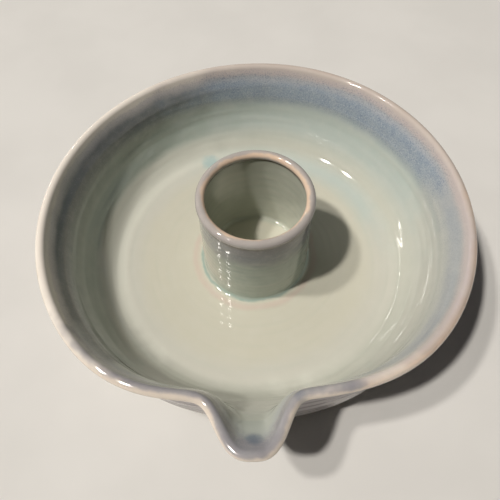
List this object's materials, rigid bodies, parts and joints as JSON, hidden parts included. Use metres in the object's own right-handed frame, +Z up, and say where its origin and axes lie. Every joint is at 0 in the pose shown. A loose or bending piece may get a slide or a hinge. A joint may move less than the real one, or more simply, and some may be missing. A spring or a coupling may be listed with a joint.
{
  "type": "thrown roasting dish with centre cup",
  "caption": "Round wheel-thrown glazed dish with coved walls, a rounded rim pulled into a pouring spout, and an open cylindrical cup standing in the middle of its flat floor.",
  "frame": {"origin": "on the axis of throwing, in the plane of the foot ring's resting face", "axes": "+Z up along the axis of throwing; the pouring spout points along -Y, so +X is to the right of someone facing the spout from outside"},
  "size_m": [0.2696, 0.2818, 0.0815],
  "materials": {
    "bare_clay": "bare fired stoneware, matt and slightly sandy",
    "celadon_glaze": "glossy pale celadon, warm over the floor and greyer green up the wall",
    "outside_glaze": "glossy grey-lilac over throwing rings",
    "rim_glaze": "glossy speckled grey-blue, breaking through lilac to cream on the lip",
    "cup_inside_glaze": "glossy celadon",
    "cup_outside_glaze": "glossy grey-green, pooled turquoise at the foot",
    "cup_rim_glaze": "glossy lilac-grey, breaking to peach on the inner edge"
  },
  "bodies": {
    "root": {"dish_body": "bare_clay", "foot_ring": "bare_clay", "centre_cup": "bare_clay", "cup_joint_coils": "bare_clay", "dish_glaze_inside": "celadon_glaze", "dish_glaze_outside": "outside_glaze", "dish_rim_glaze": "rim_glaze", "cup_glaze_inside": "cup_inside_glaze", "cup_glaze_outside": "cup_outside_glaze", "cup_rim_glaze": "cup_rim_glaze"}
  },
  "joints": []
}
